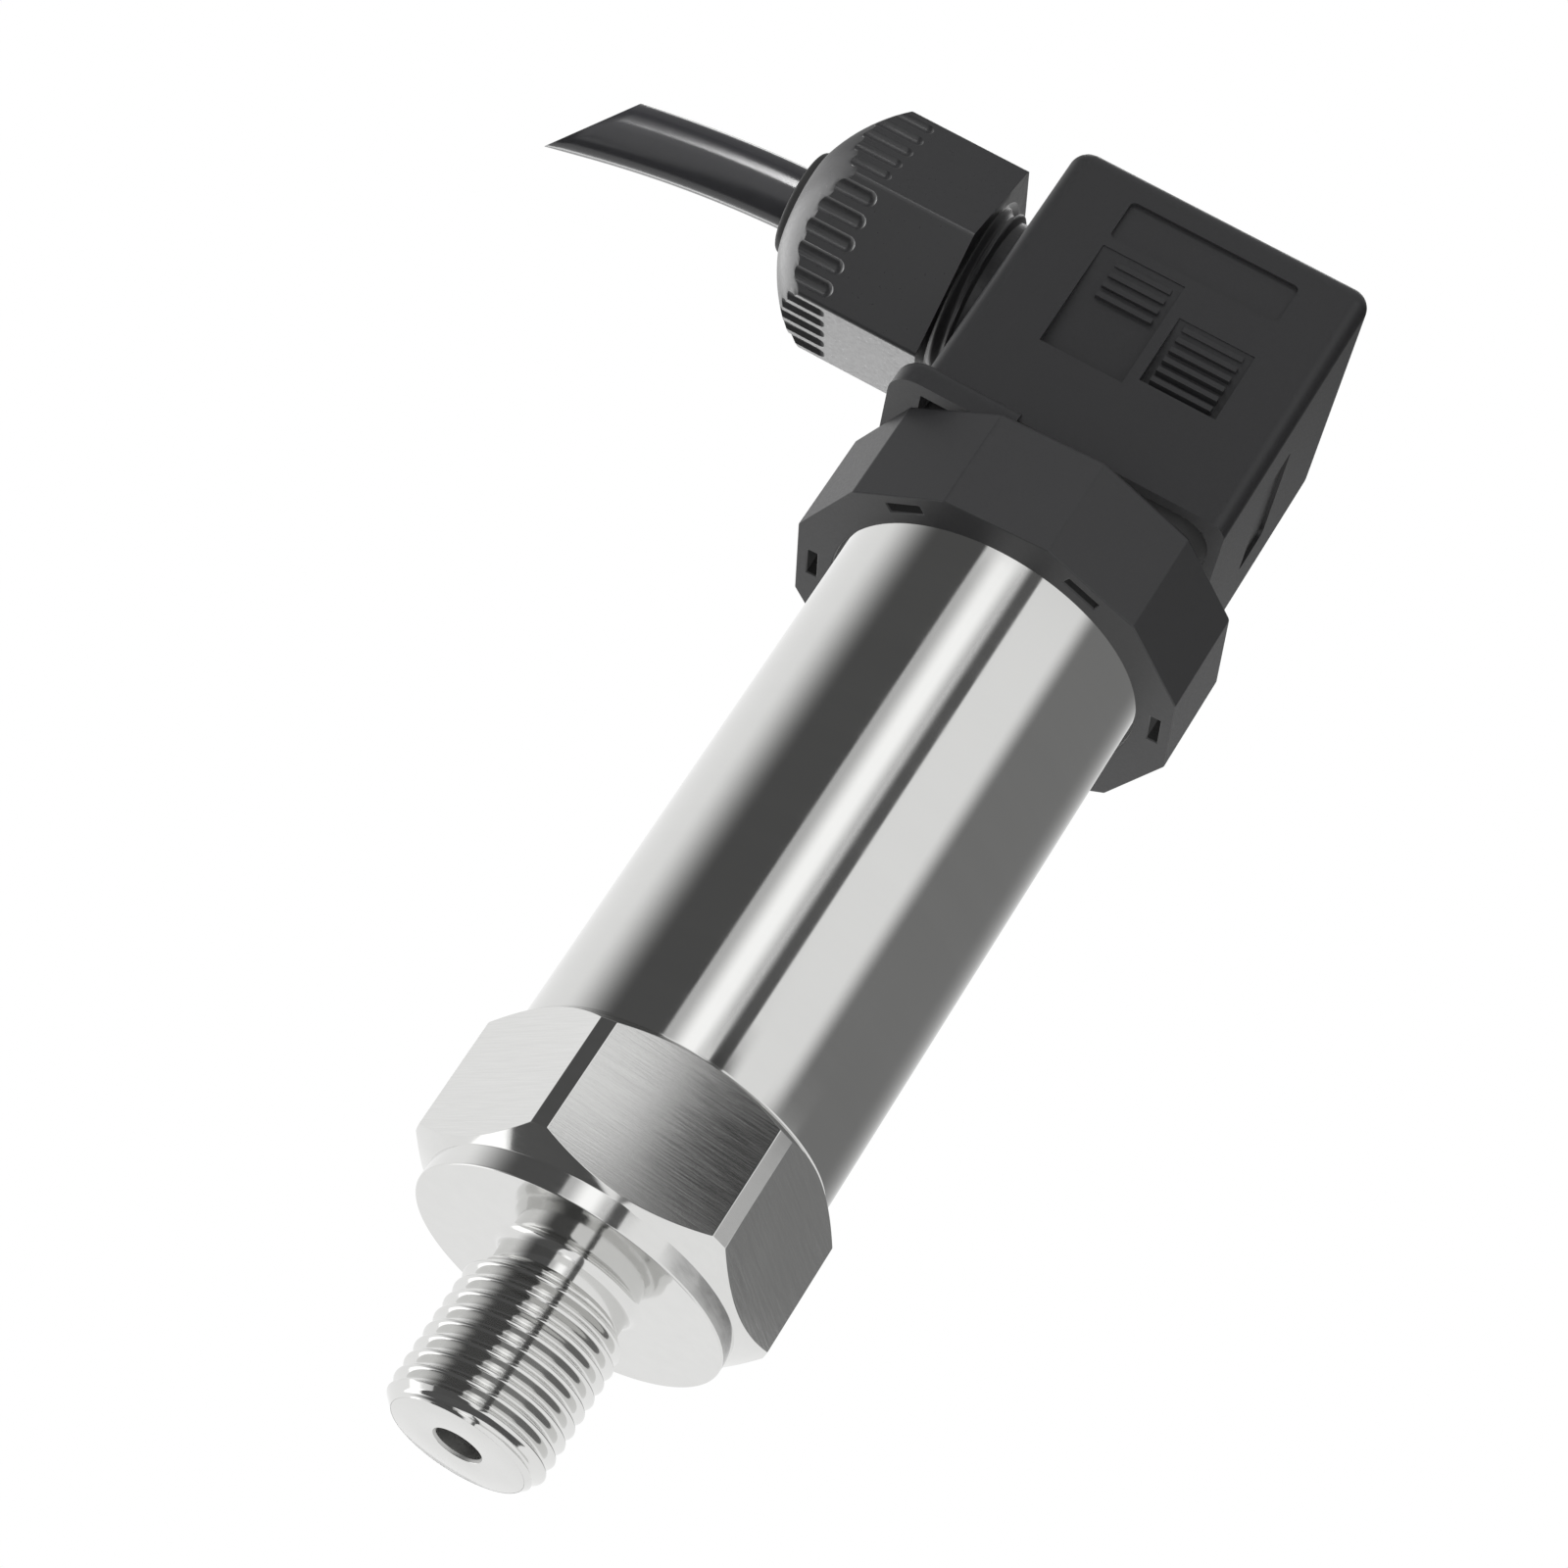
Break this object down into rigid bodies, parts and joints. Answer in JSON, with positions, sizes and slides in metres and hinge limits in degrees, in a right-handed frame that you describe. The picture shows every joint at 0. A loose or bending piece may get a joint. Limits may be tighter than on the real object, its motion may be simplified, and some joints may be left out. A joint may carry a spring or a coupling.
{
  "type": "pressure transmitter",
  "caption": "Pressure transmitter with a steel tube housing, male process thread and a black right-angle cable plug.",
  "frame": {"origin": "centre of the seal face, where the hexagon's flange meets the threaded spigot, on the housing's axis", "axes": "+Z along the housing's axis from the process thread to the plug; the cable gland points along -X; the plug's broad face looks along -Y"},
  "size_m": [0.0716, 0.0342, 0.1187],
  "materials": {
    "machined_steel": "turned stainless steel, bright",
    "tube_steel": "satin drawn stainless tube",
    "black_moulding": "fine moulded texture, black",
    "black_gland": "semi-gloss black",
    "black_rubber": "dull rubber",
    "cable_sheath": "smooth black sheath with a soft shine",
    "core_insulation": "coloured wire insulation",
    "ceramic_body": "fired ceramic, matt",
    "foil_steel": "thin rolled foil",
    "brass_parts": "turned brass",
    "plated_contacts": "tin-plated, satin",
    "green_board": "solder-masked board",
    "black_chips": "moulded chip bodies",
    "blue_pots": "blue moulding",
    "grey_insulator": "grey moulding"
  },
  "bodies": {
    "transmitter": {"pressure_port": "machined_steel", "housing_tube": "tube_steel", "sensor_cell": "ceramic_body", "cell_diaphragm": "foil_steel", "cell_o_ring": "black_rubber", "cell_pins": "plated_contacts", "retaining_ring": "machined_steel", "board_holder": "grey_insulator", "amplifier_board": "green_board", "board_chips": "black_chips", "trim_pots": "blue_pots", "collar": "black_moulding", "collar_o_ring": "black_rubber", "contact_base": "grey_insulator", "line_blades": "plated_contacts", "earth_blade": "plated_contacts", "screw_insert": "brass_parts"},
    "connector": {"plug_housing": "black_moulding", "flat_gasket": "black_rubber", "terminal_block": "grey_insulator", "terminal_clamps": "brass_parts", "clamp_screws": "plated_contacts", "screw_washer": "black_rubber", "gland_grommet": "black_rubber", "slip_ring": "grey_insulator", "cable_sheath": "cable_sheath", "cable_cores": "core_insulation"},
    "gland_nut_body": {"gland_nut": "black_gland"},
    "fixing_screw_body": {"fixing_screw": "plated_contacts"}
  },
  "joints": [
    {"name": "connector_pull", "type": "slide", "parent": "transmitter", "child": "connector", "axis": [0, 0, 1], "range_m": [0, 0.03]},
    {"name": "gland_nut_turn", "type": "hinge", "parent": "connector", "child": "gland_nut_body", "pos_m": [-0.0247, 0, 0.093], "axis": [-1, 0, 0], "range_deg": [0, 1080]},
    {"name": "fixing_screw_turn", "type": "hinge", "parent": "connector", "child": "fixing_screw_body", "pos_m": [0, 0, 0.1], "axis": [0, 0, 1], "continuous": true}
  ]
}
